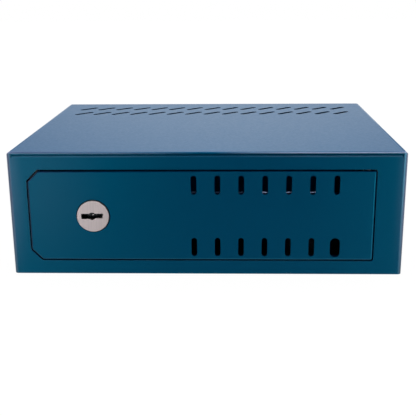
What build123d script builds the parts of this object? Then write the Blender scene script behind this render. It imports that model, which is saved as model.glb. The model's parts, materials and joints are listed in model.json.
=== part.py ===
from build123d import *
import os
from math import acos, cos, pi, radians, sin, sqrt, tan

# Lockable sheet-steel box for a video recorder, with a hinged door and a double-bit lever lock.
# Origin: middle of the underside. +X is right as seen from the front, +Y is rear, +Z is up.
# Lengths are in millimetres and angles in degrees.

os.makedirs("parts", exist_ok=True)

# Cabinet sizes
width = 452.0
depth = 357.0
height = 145.2
sheet = 2.0
shell_bend = 5.0
front_corner = 4.5
lip_width = 5.5
corner_fit = 0.3
top_edge_round = 1.7

# Slanted vents in the top
top_slot_columns = 15
top_slot_rows = 2
top_slot_pitch = 26.55
top_slot_row_spacing = 42.0
top_slot_rear_inset = 46.1
top_slot_length = 31.5
top_slot_width = 7.2
top_slot_angle = 45.0

# Front frame
frame_sheet = 2.0
frame_groove = 2.2
frame_groove_depth = 0.8
frame_groove_round = 0.7
frame_corner = 3.5
frame_flange = 10.0
frame_flange_inset = 8.0
margin_left = 21.0
margin_right = 33.2
margin_top = 20.25
margin_bottom = 16.0
opening_corner = 3.0

# Base tray
base_flange = 15.0
base_flange_front_inset = 14.0
base_flange_rear_gap = 1.0
anchor_hole_radius = 5.0
anchor_spacing_x = 330.0
anchor_spacing_y = 260.0

# Rear panel
rear_inset = 3.0
rear_flange = 12.0
cable_hole_radius = 14.0
cable_hole_side_inset = 85.0
cable_hole_height = 45.0
grommet_wall = 4.0
grommet_lip = 3.0
grommet_flange = 2.0
grommet_round = 0.7

# Door
door_thickness = 3.0
door_gap = 1.1
door_top_gap = 1.7
hinge_gap = 0.9
door_cut = 12.5
cut_round = 2.5
door_corner = 2.0
hinge_edge_round = 2.2

# Upright vents in the door
slot_columns = 7
slot_pitch = 27.0
slot_last_inset = 43.8
slot_upper_inset = 16.55
slot_lower_inset = 15.8
slot_length = 22.4
slot_width = 6.6
wide_slot_length = 23.4
wide_slot_width = 11.4
wide_slot_drop = 0.5

# Channel behind the vents
stiffener_slot_gap = 1.25
stiffener_depth = 13.0
stiffener_sheet = 1.5
stiffener_bend = 2.0
stiffener_left_reach = 18.0
stiffener_foot = 3.75

# Stops that the door closes against
stop_sheet = 2.0
stop_gap = 0.3
stop_overlap = 6.0
stop_foot = 12.0
stop_joggle = 2.0
stop_end_gap = 3.0

# Hinge
pin_radius = 3.0
running_clearance = 0.06
knuckle_wall = 2.0
knuckle_length = 30.0
hinge_inset = 9.0
washer_width = 2.0
washer_thickness = 1.6
washer_gap = 0.1
lug_thickness = 3.0
lug_left = 10.0
lug_right = 14.0
lug_rear = 9.0
lug_corner = 5.0
pin_head_rim = 1.5
pin_head = 2.0
pin_engagement = 25.0

# Key and face disc
lock_inset = 72.6
lock_drop = 0.3
disc_radius = 18.7
disc_offset = 0.9
disc_drop = 0.15
disc_clearance = 0.9
disc_hole_offset = 0.5
disc_recess = 0.3
disc_bevel = 0.4
keyhole_length = 24.9
keyhole_left_height = 6.2
keyhole_right_height = 5.4
keyhole_bulge_radius = 4.4
keyhole_wing_shift = 0.25
keyway_clearance = 0.3
guide_pin_radius = 1.3
guide_pin_length = 3.3
guide_pin_seat = 2.0
guide_pin_flat = 0.15

# Lock case
case_wall = 2.0
case_corner = 3.0
case_end_gap = 3.0
case_rear_gap = 3.0
cover_thickness = 2.0
boss_wall = 2.1
boss_inset = 6.5
cover_screw_radius = 1.5
cover_screw_grip = 8.0
cover_screw_head_rim = 1.3
cover_screw_head = 1.8
screw_clearance = 0.2
screw_slot_width = 0.8
screw_slot_depth = 0.9
ear_spacing_x = 50.0
ear_width = 12.0
stud_radius = 2.0
stud_end = 3.8
nut_flats = 7.0
nut_height = 3.2
nut_gap = 1.0

# Rotor, pinion and rack
pinion_teeth = 12
gear_module = 0.75
pressure_angle = 20.0
backlash = 0.12
pinion_addendum = 0.75
rack_addendum = 0.45
tip_clearance = 0.2
drum_rim = 1.25
barrel_wall = 2.3
barrel_floor = 1.2
rotor_journal_radius = 3.0
rotor_shoulder_radius = 5.0
rotor_float = 0.2

# Bolt work
bolt_plate_thickness = 3.0
bolt_plate_half_height = 12.0
bolt_plate_tail = 6.0
bolt_plate_side_gap = 0.3
bolt_plate_edge_gap = 0.4
plate_window_clearance = 2.5
plate_lever_gap = 0.3
bolt_radius = 7.0
bolt_guide_gap = 0.5
bolt_spacing = 50.0
bolt_tip_inset = 1.5
bolt_tip_chamfer = 1.0
bolt_spigot_radius = 4.0
carriage_width = 8.0
carriage_wall = 2.0
carriage_overhang = 9.0
carriage_case_gap = 0.9
carriage_tab_half_height = 10.0
carriage_screw_radius = 2.0
carriage_screw_head_rim = 1.2
carriage_screw_head = 2.0
carriage_screw_end_gap = 2.5
carriage_screw_spacing = 10.0
stump_size = 4.0
stump_rivet_radius = 1.5
stump_end_gap = 0.3

# Bolt guide on the door and keeper on the frame
guide_sheet = 2.0
guide_inset = 4.0
guide_foot = 14.0
guide_rim = 3.5
guide_end = 8.0
keeper_sheet = 2.0
keeper_inset = 4.3
keeper_edge_gap = 1.0
keeper_hole_clearance = 0.5
keeper_rim = 4.0
keeper_end = 9.5

# Lever tumblers, each with its own cut
lever_cuts = (0.0, 0.8, 1.4, 0.4, 1.1)
lever_thickness = 0.9
lever_gap = 0.2
lever_front_gap = 0.4
lever_corner = 2.5
lever_upper_web = 2.0
lever_lower_web = 3.0
lever_end_web = 3.4
lever_post_radius = 2.5
lever_collar_width = 1.5
lever_eye_wall = 2.5
lever_eye_web = 5.5
key_window_end_gap = 1.05
key_window_side_gap = 1.6
key_window_corner = 0.9
gate_web = 2.0
gate_clearance = 0.7
gate_top_gap = 0.4
gate_lift_room = 3.4
pocket_depth = 2.0
spring_wire = 0.5
spring_height = 16.0
spring_reach = 14.0
spring_inset = 6.5
spring_round = 0.8

# Cabinet faces
front_y = -depth / 2
rear_y = depth / 2
frame_back_y = front_y + frame_sheet
frame_top = height - sheet
frame_groove_z = frame_top - frame_groove
frame_width = width - 2 * lip_width
rear_plate_back_y = rear_y - rear_inset
rear_plate_front_y = rear_plate_back_y - sheet
opening_left = -width / 2 + margin_left
opening_right = width / 2 - margin_right
opening_bottom = margin_bottom
opening_top = height - margin_top
opening_cut = door_cut + door_gap * (2 - sqrt(2))

# Door faces
door_left = opening_left + door_gap
door_right = opening_right - hinge_gap
door_bottom = opening_bottom + door_gap
door_top = opening_top - door_top_gap
door_middle = (door_bottom + door_top) / 2
door_back_y = front_y + door_thickness
slot_last_x = door_right - slot_last_inset
slot_first_x = slot_last_x - (slot_columns - 1) * slot_pitch
upper_row_z = door_top - slot_upper_inset
lower_row_z = door_bottom + slot_lower_inset

# Hinge axis
knuckle_size = 2 * (pin_radius + knuckle_wall)
hinge_x = door_right - hinge_inset
hinge_y = door_back_y + knuckle_size / 2
hinge_bore_radius = pin_radius + running_clearance
hinge_sweep = sqrt(hinge_inset**2 + (hinge_y - front_y) ** 2)

# Lock depths, from the door's back to the rear
lock_x = door_left + lock_inset
lock_z = door_middle - lock_drop
disc_x = lock_x + disc_offset
disc_z = lock_z - disc_drop
case_floor_y = door_back_y + case_wall
lever_spacing = lever_thickness + lever_gap
lever_pack_front_y = case_floor_y + lever_front_gap
lever_pack_back_y = lever_pack_front_y + len(lever_cuts) * lever_spacing - lever_gap
plate_front_y = lever_pack_back_y + plate_lever_gap
plate_back_y = plate_front_y + bolt_plate_thickness
case_rim_y = plate_back_y + case_rear_gap
cover_back_y = case_rim_y + cover_thickness

# Pinion and rack
pitch_radius = pinion_teeth * gear_module / 2
bolt_throw = pi * pitch_radius
tooth_pitch = pi * gear_module
tooth_width = (tooth_pitch - backlash) / 2
base_radius = pitch_radius * cos(radians(pressure_angle))
tip_radius = pitch_radius + pinion_addendum
root_radius = pitch_radius - rack_addendum - tip_clearance
rack_dedendum = pinion_addendum + tip_clearance

# Rotor, levers and their windows and gates, with the bolts drawn back
drum_radius = keyhole_length / 2 + keyway_clearance + drum_rim
barrel_radius = keyhole_bulge_radius + keyway_clearance + barrel_wall
key_window_half_length = keyhole_length / 2 + key_window_end_gap
key_window_half_height = barrel_radius + key_window_side_gap
lever_top = key_window_half_height + max(lever_cuts) + lever_upper_web
lever_bottom = key_window_half_height + max(lever_cuts) + lever_lower_web
lever_eye_radius = lever_post_radius + lever_eye_wall
post_x = lock_x - key_window_half_length - lever_eye_web - lever_eye_radius
gate_left = lock_x + key_window_half_length + gate_web
gate_below = stump_size / 2 + gate_lift_room
gate_height = stump_size + gate_lift_room + gate_top_gap
stump_locked_x = gate_left + gate_clearance + stump_size / 2
stump_x = stump_locked_x + bolt_throw
gate_right = stump_x + stump_size / 2 + gate_clearance
lever_right = gate_right + lever_end_web

# Lock case around the levers, with its bosses, ears and studs
case_left = post_x - lever_eye_radius - case_end_gap - case_wall
case_right = lever_right + case_end_gap + case_wall
case_half_height = lever_top + spring_height + case_wall
case_middle_x = (case_left + case_right) / 2
case_length = case_right - case_left
boss_spacing_x = case_length - 2 * boss_inset
boss_spacing_z = 2 * (case_half_height - boss_inset)
stud_spacing_z = 2 * (case_half_height + nut_flats / sqrt(3) + nut_gap)

# Bolt work places
plate_right = stump_x + bolt_plate_tail
bolt_y = door_back_y + guide_sheet + bolt_guide_gap + bolt_radius
bolt_tip_x = door_left + bolt_tip_inset
carriage_depth = 2 * (bolt_spigot_radius + carriage_wall)
carriage_back_y = bolt_y + carriage_depth / 2
carriage_right = case_left - carriage_case_gap
carriage_left = carriage_right - carriage_width
carriage_screw_length = carriage_depth - carriage_screw_end_gap
keeper_x = opening_left - keeper_inset
keeper_left = keeper_edge_gap - frame_width / 2
keeper_hole_radius = bolt_radius + keeper_hole_clearance


def facing_front(y):
    """Upright plane at y that faces the front: local x is X, local y is Z, the normal is -Y."""
    return Plane.XZ.offset(-y)


def facing_right(x):
    """Upright plane at x that faces right: local x is Y, local y is Z, the normal is +X."""
    return Plane.YZ.offset(x)


def edge_waste(front, top, radius):
    """What rounding a plate's upper front edge takes off, in side view."""
    with BuildSketch(mode=Mode.PRIVATE) as waste:
        with Locations((front, top)):
            Rectangle(radius, radius, align=(Align.MIN, Align.MAX))
        with Locations((front + radius, top - radius)):
            Circle(radius, mode=Mode.SUBTRACT)
    return waste.sketch


def cut_corner_outline(left, right, bottom, top, cut):
    """Corners of a rectangle whose two left corners are cut at 45 degrees."""
    return (
        (left + cut, bottom),
        (right, bottom),
        (right, top),
        (left + cut, top),
        (left, top - cut),
        (left, bottom + cut),
    )


def tooth_half_angle(radius):
    """Half the angle that a pinion tooth takes up at a radius outside the base circle."""
    at_pitch = tooth_width / 2 / pitch_radius
    pitch_turn = radians(pressure_angle)
    turn = acos(base_radius / radius)
    return at_pitch + (tan(pitch_turn) - pitch_turn) - (tan(turn) - turn)


def flank_point(radius, side):
    """Point of an upward pinion tooth's flank at a radius; side is -1 or 1."""
    angle = tooth_half_angle(max(radius, base_radius))
    return (side * radius * sin(angle), radius * cos(angle))


# Cabinet shell: top and both sides in one bent sheet, with rounded lips at the front
with BuildPart() as body_shell:
    with BuildSketch(facing_front(rear_y)) as shell_outside:
        Rectangle(width, height, align=(Align.CENTER, Align.MIN))
        fillet(shell_outside.vertices().group_by(Axis.Y)[-1], shell_bend)
    extrude(amount=depth)
    with BuildSketch(facing_front(rear_y)) as shell_inside:
        Rectangle(width - 2 * sheet, height - sheet, align=(Align.CENTER, Align.MIN))
        fillet(shell_inside.vertices().group_by(Axis.Y)[-1], shell_bend - sheet)
    extrude(amount=depth, mode=Mode.SUBTRACT)
    with BuildSketch(Plane.XY) as shell_plan:
        Rectangle(width, depth)
        fillet(shell_plan.vertices().group_by(Axis.Y)[0], front_corner)
    extrude(amount=height, mode=Mode.INTERSECT)
    with BuildSketch(Plane.XY) as lips_plan:
        RectangleRounded(width, depth, front_corner)
        with Locations((0, sheet)):
            RectangleRounded(width - 2 * sheet, depth, front_corner - sheet, mode=Mode.SUBTRACT)
        with Locations((0, front_y)):
            Rectangle(frame_width, 2 * (front_corner + sheet), mode=Mode.SUBTRACT)
    extrude(amount=height)
    extrude(shell_outside.sketch, amount=depth, mode=Mode.INTERSECT)
    with BuildSketch(facing_right(-width / 2)) as top_edge_cut:
        add(edge_waste(front_y, height, top_edge_round))
    extrude(amount=width, mode=Mode.SUBTRACT)
    with BuildSketch(Plane.XY.offset(height)) as top_slots:
        with Locations((0, rear_y - top_slot_rear_inset - top_slot_row_spacing / 2)):
            with GridLocations(top_slot_pitch, top_slot_row_spacing, top_slot_columns, top_slot_rows):
                SlotOverall(top_slot_length, top_slot_width, rotation=top_slot_angle)
    extrude(amount=-sheet, mode=Mode.SUBTRACT)
body_shell.part.label = "body_shell"
export_step(body_shell.part, "parts/body_shell.step")

# Front frame: plate around the door, with a shallow groove along its top, round at the corners, and
# a flange turned back under the top
with BuildPart() as front_frame:
    with BuildSketch(facing_front(frame_back_y)) as frame_plate:
        Rectangle(frame_width, frame_top, align=(Align.CENTER, Align.MIN))
    extrude(amount=frame_sheet)
    with BuildSketch(facing_front(front_y)) as frame_groove_outline:
        Rectangle(frame_width, frame_top, align=(Align.CENTER, Align.MIN))
        with BuildSketch(mode=Mode.PRIVATE) as frame_panel:
            Rectangle(frame_width, frame_groove_z, align=(Align.CENTER, Align.MIN))
            fillet(frame_panel.vertices().group_by(Axis.Y)[-1], frame_corner)
        add(frame_panel.sketch, mode=Mode.SUBTRACT)
    extrude(amount=-frame_groove_depth, mode=Mode.SUBTRACT)
    with BuildSketch(facing_right(-frame_width / 2)) as frame_edge_cut:
        add(edge_waste(front_y, frame_groove_z, frame_groove_round))
    extrude(amount=frame_width, mode=Mode.SUBTRACT)
    with BuildSketch(Plane.XY.offset(frame_top)) as top_flange:
        with Locations((0, frame_back_y)):
            Rectangle(frame_width - 2 * frame_flange_inset, frame_flange, align=(Align.CENTER, Align.MIN))
    extrude(amount=-frame_sheet)
    with BuildSketch(facing_front(frame_back_y)) as frame_opening:
        Polygon(
            *cut_corner_outline(opening_left, opening_right, opening_bottom, opening_top, opening_cut),
            align=None,
        )
        fillet(frame_opening.vertices().group_by(Axis.X)[-1], opening_corner)
        fillet(frame_opening.vertices().group_by(Axis.X)[0], cut_round)
        fillet(frame_opening.vertices().group_by(Axis.Y)[0].sort_by(Axis.X)[0], cut_round)
        fillet(frame_opening.vertices().group_by(Axis.Y)[-1].sort_by(Axis.X)[0], cut_round)
    extrude(amount=frame_sheet, mode=Mode.SUBTRACT)
front_frame.part.label = "front_frame"
export_step(front_frame.part, "parts/front_frame.step")

# Base tray: floor with upturned side flanges and four anchor holes
base_front_y = frame_back_y
base_length = rear_y - base_front_y
base_width = width - 2 * sheet
base_flange_front_y = base_front_y + base_flange_front_inset
base_flange_length = rear_plate_front_y - rear_flange - base_flange_rear_gap - base_flange_front_y
with BuildPart() as base_plate:
    with BuildSketch(Plane.XY) as base_floor:
        with Locations((0, base_front_y)):
            Rectangle(base_width, base_length, align=(Align.CENTER, Align.MIN))
        fillet(base_floor.vertices().group_by(Axis.Y)[0], front_corner - sheet + corner_fit)
        with GridLocations(anchor_spacing_x, anchor_spacing_y, 2, 2):
            Circle(anchor_hole_radius, mode=Mode.SUBTRACT)
    extrude(amount=sheet)
    with BuildSketch(Plane.XY.offset(sheet)) as base_flanges:
        with Locations((0, base_flange_front_y)):
            Rectangle(base_width, base_flange_length, align=(Align.CENTER, Align.MIN))
            Rectangle(
                base_width - 2 * sheet,
                base_flange_length,
                align=(Align.CENTER, Align.MIN),
                mode=Mode.SUBTRACT,
            )
    extrude(amount=base_flange)
base_plate.part.label = "base_plate"
export_step(base_plate.part, "parts/base_plate.step")

# Rear panel: pan with flanges turned forward, set in from the rear edge, with two cable holes
rear_panel_height = height - 2 * sheet
cable_hole_x = width / 2 - cable_hole_side_inset
with BuildPart() as rear_panel:
    with BuildSketch(facing_front(rear_plate_back_y)) as rear_outline:
        with Locations((0, sheet)):
            Rectangle(base_width, rear_panel_height, align=(Align.CENTER, Align.MIN))
        fillet(rear_outline.vertices().group_by(Axis.Y)[-1], shell_bend - sheet + corner_fit)
    extrude(amount=sheet + rear_flange)
    with BuildSketch(facing_front(rear_plate_front_y)) as rear_hollow:
        with Locations((0, 2 * sheet)):
            Rectangle(
                base_width - 2 * sheet,
                rear_panel_height - 2 * sheet,
                align=(Align.CENTER, Align.MIN),
            )
    extrude(amount=rear_flange, mode=Mode.SUBTRACT)
    with BuildSketch(facing_front(rear_plate_back_y)) as cable_holes:
        with Locations((0, cable_hole_height)):
            with GridLocations(2 * cable_hole_x, 0, 2, 1):
                Circle(cable_hole_radius)
    extrude(amount=sheet, mode=Mode.SUBTRACT)
rear_panel.part.label = "rear_panel"
export_step(rear_panel.part, "parts/rear_panel.step")

# Rubber grommets: a bore, a neck in the cable hole and a flange on each side of the sheet
for side, name in ((-1, "cable_grommet_left"), (1, "cable_grommet_right")):
    grommet_x = side * cable_hole_x
    grommet_plane = Plane(
        origin=(grommet_x, rear_plate_front_y, cable_hole_height),
        x_dir=(1, 0, 0),
        z_dir=(0, 1, 0),
    )
    with BuildPart(grommet_plane) as grommet:
        Cylinder(cable_hole_radius, sheet, align=(Align.CENTER, Align.CENTER, Align.MIN))
        with Locations((0, 0, -grommet_flange), (0, 0, sheet)):
            Cylinder(
                cable_hole_radius + grommet_lip,
                grommet_flange,
                align=(Align.CENTER, Align.CENTER, Align.MIN),
            )
        fillet(grommet.edges().filter_by(GeomType.CIRCLE).group_by(Axis.Y)[0], grommet_round)
        fillet(grommet.edges().filter_by(GeomType.CIRCLE).group_by(Axis.Y)[-1], grommet_round)
        Hole(cable_hole_radius - grommet_wall)
    grommet.part.label = name
    export_step(grommet.part, f"parts/{name}.step")

# Door stops: joggled strips on the frame's back, ending short of the hinge
stop_left = opening_left + opening_cut + stop_end_gap
stop_right = hinge_x - hinge_sweep - stop_end_gap
lip_front_y = door_back_y + stop_gap
for side, edge_z, name in ((1, opening_top, "door_stop_upper"), (-1, opening_bottom, "door_stop_lower")):
    joggle_z = edge_z + side * stop_joggle
    with BuildPart() as door_stop:
        with BuildSketch(facing_right(stop_left)) as stop_section:
            Polygon(
                (lip_front_y, edge_z - side * stop_overlap),
                (lip_front_y + stop_sheet, edge_z - side * stop_overlap),
                (lip_front_y + stop_sheet, joggle_z),
                (frame_back_y + stop_sheet, joggle_z + side * stop_joggle),
                (frame_back_y + stop_sheet, joggle_z + side * stop_foot),
                (frame_back_y, joggle_z + side * stop_foot),
                (frame_back_y, joggle_z),
                (lip_front_y, edge_z),
                align=None,
            )
        extrude(amount=stop_right - stop_left)
    door_stop.part.label = name
    export_step(door_stop.part, f"parts/{name}.step")

# Keeper: angle behind the frame's left border, with a hole for each locking bolt
keeper_half_height = bolt_spacing / 2 + keeper_hole_radius + keeper_end
keeper_depth = bolt_y + keeper_hole_radius + keeper_rim - frame_back_y
with BuildPart() as bolt_keeper:
    with BuildSketch(Plane.XY.offset(lock_z - keeper_half_height)) as keeper_section:
        with Locations((keeper_x, frame_back_y)):
            Rectangle(keeper_x - keeper_left, keeper_sheet, align=(Align.MAX, Align.MIN))
            Rectangle(keeper_sheet, keeper_depth, align=(Align.MAX, Align.MIN))
    extrude(amount=2 * keeper_half_height)
    with BuildSketch(facing_right(keeper_x)) as keeper_holes:
        with Locations((bolt_y, lock_z)):
            with GridLocations(0, bolt_spacing, 1, 2):
                Circle(keeper_hole_radius)
    extrude(amount=-keeper_sheet, mode=Mode.SUBTRACT)
bolt_keeper.part.label = "bolt_keeper"
export_step(bolt_keeper.part, "parts/bolt_keeper.step")

# Hinge lugs, pins, washers and knuckles: the upper set, and the lower set upside down
for name, edge_z, direction in (("upper", door_top, 1), ("lower", door_bottom, -1)):
    axis_up = Plane(origin=(hinge_x, hinge_y, edge_z), x_dir=(1, 0, 0), z_dir=(0, 0, direction))
    lug_face = washer_thickness + washer_gap

    with BuildPart() as hinge_lug:
        with BuildSketch(axis_up.offset(lug_face)) as lug_outline:
            with Locations((-lug_left, direction * (frame_back_y - hinge_y))):
                Rectangle(
                    lug_left + lug_right,
                    hinge_y + lug_rear - frame_back_y,
                    align=(Align.MIN, Align.MIN if direction > 0 else Align.MAX),
                )
            rear_vertices = lug_outline.vertices().sort_by(Axis.Y, reverse=direction > 0)[:2]
            fillet(rear_vertices, lug_corner)
            Circle(pin_radius, mode=Mode.SUBTRACT)
        extrude(amount=lug_thickness)
    hinge_lug.part.label = f"hinge_lug_{name}"
    export_step(hinge_lug.part, f"parts/hinge_lug_{name}.step")

    with BuildPart() as hinge_pin:
        with BuildSketch(axis_up.offset(-pin_engagement)) as pin_shank:
            Circle(pin_radius)
        extrude(amount=pin_engagement + lug_face + lug_thickness)
        with BuildSketch(axis_up.offset(lug_face + lug_thickness)) as pin_top:
            Circle(pin_radius + pin_head_rim)
        extrude(amount=pin_head)
    hinge_pin.part.label = f"hinge_pin_{name}"
    export_step(hinge_pin.part, f"parts/hinge_pin_{name}.step")

    with BuildPart() as hinge_washer:
        with BuildSketch(axis_up) as washer_outline:
            Circle(pin_radius + washer_width)
            Circle(hinge_bore_radius, mode=Mode.SUBTRACT)
        extrude(amount=washer_thickness)
    hinge_washer.part.label = f"hinge_washer_{name}"
    export_step(hinge_washer.part, f"parts/hinge_washer_{name}.step")

    with BuildPart() as hinge_knuckle:
        with BuildSketch(axis_up) as knuckle_outline:
            Rectangle(knuckle_size, knuckle_size)
            Circle(hinge_bore_radius, mode=Mode.SUBTRACT)
        extrude(amount=-knuckle_length)
    hinge_knuckle.part.label = f"hinge_knuckle_{name}"
    export_step(hinge_knuckle.part, f"parts/hinge_knuckle_{name}.step")

# Door plate: cut corners at the lock side, vents, and the hole for the lock's face disc
with BuildPart() as door_plate:
    with BuildSketch(facing_front(door_back_y)) as door_outline:
        Polygon(*cut_corner_outline(door_left, door_right, door_bottom, door_top, door_cut), align=None)
        fillet(door_outline.vertices().group_by(Axis.X)[-1], door_corner)
        fillet(door_outline.vertices().group_by(Axis.X)[0], cut_round)
        fillet(door_outline.vertices().group_by(Axis.Y)[0].sort_by(Axis.X)[0], cut_round)
        fillet(door_outline.vertices().group_by(Axis.Y)[-1].sort_by(Axis.X)[0], cut_round)
    extrude(amount=door_thickness)
    hinge_side_edge = door_plate.edges().filter_by(Axis.Z).group_by(Axis.X)[-1].sort_by(Axis.Y)[0]
    fillet(hinge_side_edge, hinge_edge_round)
    with BuildSketch(facing_front(front_y)) as door_holes:
        for column in range(slot_columns):
            slot_x = slot_first_x + column * slot_pitch
            with Locations((slot_x, upper_row_z)):
                SlotOverall(slot_length, slot_width, rotation=90)
            if column < slot_columns - 1:
                with Locations((slot_x, lower_row_z)):
                    SlotOverall(slot_length, slot_width, rotation=90)
        with Locations((slot_last_x, lower_row_z - wide_slot_drop)):
            SlotOverall(wide_slot_length, wide_slot_width, rotation=90)
        with Locations((disc_x + disc_hole_offset, disc_z + disc_hole_offset)):
            Circle(disc_radius + disc_clearance)
    extrude(amount=-door_thickness, mode=Mode.SUBTRACT)
door_plate.part.label = "door_plate"
export_step(door_plate.part, "parts/door_plate.step")

# Stiffener: channel behind the vents, open towards the door, whose upper foot shows at the ends of
# the upper vents
stiffener_left = slot_first_x - stiffener_left_reach
stiffener_right = slot_last_x - slot_pitch / 2
stiffener_top = upper_row_z - slot_length / 2 - stiffener_slot_gap
stiffener_bottom = lower_row_z + slot_length / 2 + stiffener_slot_gap
stiffener_height = stiffener_top - stiffener_bottom
with BuildPart() as door_stiffener:
    with BuildSketch(facing_right(stiffener_left)) as stiffener_outside:
        with Locations((door_back_y, (stiffener_bottom + stiffener_top) / 2)):
            Rectangle(stiffener_depth, stiffener_height, align=(Align.MIN, Align.CENTER))
        fillet(stiffener_outside.vertices().group_by(Axis.X)[-1], stiffener_bend)
    extrude(amount=stiffener_right - stiffener_left)
    with BuildSketch(facing_right(stiffener_left)) as stiffener_inside:
        with Locations((door_back_y, (stiffener_bottom + stiffener_top) / 2)):
            Rectangle(
                stiffener_depth - stiffener_sheet,
                stiffener_height - 2 * stiffener_sheet,
                align=(Align.MIN, Align.CENTER),
            )
        fillet(stiffener_inside.vertices().group_by(Axis.X)[-1], stiffener_bend - stiffener_sheet)
    extrude(amount=stiffener_right - stiffener_left, mode=Mode.SUBTRACT)
    with BuildSketch(facing_right(stiffener_left)) as stiffener_upper_foot:
        with Locations((door_back_y, stiffener_top - stiffener_sheet)):
            Rectangle(stiffener_sheet, stiffener_sheet + stiffener_foot, align=(Align.MIN, Align.MIN))
    extrude(amount=stiffener_right - stiffener_left)
door_stiffener.part.label = "door_stiffener"
export_step(door_stiffener.part, "parts/door_stiffener.step")

# Bolt guide: angle near the door's left edge, with a running hole for each locking bolt
guide_x = door_left + guide_inset
guide_half_height = bolt_spacing / 2 + bolt_radius + guide_end
guide_depth = bolt_y + bolt_radius + guide_rim - door_back_y
with BuildPart() as bolt_guide:
    with BuildSketch(Plane.XY.offset(lock_z - guide_half_height)) as guide_section:
        with Locations((guide_x, door_back_y)):
            Rectangle(guide_foot, guide_sheet, align=(Align.MIN, Align.MIN))
            Rectangle(guide_sheet, guide_depth, align=(Align.MIN, Align.MIN))
    extrude(amount=2 * guide_half_height)
    with BuildSketch(facing_right(guide_x)) as guide_holes:
        with Locations((bolt_y, lock_z)):
            with GridLocations(0, bolt_spacing, 1, 2):
                Circle(bolt_radius + running_clearance)
    extrude(amount=guide_sheet, mode=Mode.SUBTRACT)
bolt_guide.part.label = "bolt_guide"
export_step(bolt_guide.part, "parts/bolt_guide.step")

# Keyhole profile, about the key's axis: a round middle and two wings that differ in height and width
with BuildSketch() as keyhole:
    Circle(keyhole_bulge_radius)
    with Locations((-keyhole_length / 4, -keyhole_wing_shift)):
        Rectangle(keyhole_length / 2, keyhole_left_height)
    with Locations((keyhole_length / 4, keyhole_wing_shift)):
        Rectangle(keyhole_length / 2, keyhole_right_height)
with BuildSketch() as keyway:
    add(keyhole.sketch)
    offset(amount=keyway_clearance, kind=Kind.INTERSECTION)

# Face disc: brushed plate in the door's lock hole, resting on the lock case
with BuildPart() as lock_face_disc:
    with BuildSketch(facing_front(door_back_y)) as disc_outline:
        with Locations((disc_x, disc_z)):
            Circle(disc_radius)
    extrude(amount=door_thickness - disc_recess)
    chamfer(lock_face_disc.edges().group_by(Axis.Y)[0], disc_bevel)
    with BuildSketch(facing_front(door_back_y)) as disc_keyhole:
        with Locations((lock_x, lock_z)):
            add(keyhole.sketch)
    extrude(amount=door_thickness, mode=Mode.SUBTRACT)
lock_face_disc.part.label = "lock_face_disc"
export_step(lock_face_disc.part, "parts/lock_face_disc.step")

# Lock case: tray against the door's back, with ears, screw bosses and a mouth for the bolt plate
with BuildPart() as lock_case:
    with BuildSketch(facing_front(case_rim_y)) as case_outside:
        with Locations((case_middle_x, lock_z)):
            RectangleRounded(case_length, 2 * case_half_height, case_corner)
    extrude(amount=case_rim_y - door_back_y)
    with BuildSketch(facing_front(case_rim_y)) as case_inside:
        with Locations((case_middle_x, lock_z)):
            RectangleRounded(
                case_length - 2 * case_wall,
                2 * (case_half_height - case_wall),
                case_corner - case_wall,
            )
    extrude(amount=case_rim_y - case_floor_y, mode=Mode.SUBTRACT)
    with BuildSketch(facing_front(case_floor_y)) as case_ears:
        with Locations((lock_x, lock_z)):
            with GridLocations(ear_spacing_x, 0, 2, 1):
                SlotCenterToCenter(stud_spacing_z, ear_width, rotation=90)
        with Locations((case_middle_x, lock_z)):
            Rectangle(case_length - case_corner, 2 * case_half_height, mode=Mode.SUBTRACT)
    extrude(amount=case_wall)
    with BuildSketch(facing_front(case_rim_y)) as case_bosses:
        with Locations((case_middle_x, lock_z)):
            with GridLocations(boss_spacing_x, boss_spacing_z, 2, 2):
                Circle(cover_screw_radius + boss_wall)
    extrude(amount=case_rim_y - case_floor_y)
    with BuildSketch(facing_front(case_rim_y)) as boss_holes:
        with Locations((case_middle_x, lock_z)):
            with GridLocations(boss_spacing_x, boss_spacing_z, 2, 2):
                Circle(cover_screw_radius)
    extrude(amount=cover_screw_grip, mode=Mode.SUBTRACT)
    with BuildSketch(facing_front(case_floor_y)) as floor_holes:
        with Locations((lock_x, lock_z)):
            Circle(drum_radius + running_clearance)
            with GridLocations(ear_spacing_x, stud_spacing_z, 2, 2):
                Circle(stud_radius + screw_clearance)
        with Locations((post_x, lock_z)):
            Circle(lever_post_radius)
    extrude(amount=case_wall, mode=Mode.SUBTRACT)
    with BuildSketch(facing_right(case_left)) as plate_mouth:
        with Locations((bolt_y, lock_z)):
            Rectangle(
                bolt_plate_thickness + 2 * bolt_plate_side_gap,
                2 * (bolt_plate_half_height + bolt_plate_edge_gap),
            )
    extrude(amount=case_wall, mode=Mode.SUBTRACT)
lock_case.part.label = "lock_case"
export_step(lock_case.part, "parts/lock_case.step")

# Lock cover, with the rotor's rear bearing hole
with BuildPart() as lock_cover:
    with BuildSketch(facing_front(cover_back_y)) as cover_outline:
        with Locations((case_middle_x, lock_z)):
            RectangleRounded(case_length, 2 * case_half_height, case_corner)
            with GridLocations(boss_spacing_x, boss_spacing_z, 2, 2):
                Circle(cover_screw_radius + screw_clearance, mode=Mode.SUBTRACT)
        with Locations((lock_x, lock_z)):
            Circle(rotor_journal_radius + running_clearance, mode=Mode.SUBTRACT)
    extrude(amount=cover_thickness)
lock_cover.part.label = "lock_cover"
export_step(lock_cover.part, "parts/lock_cover.step")

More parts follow.
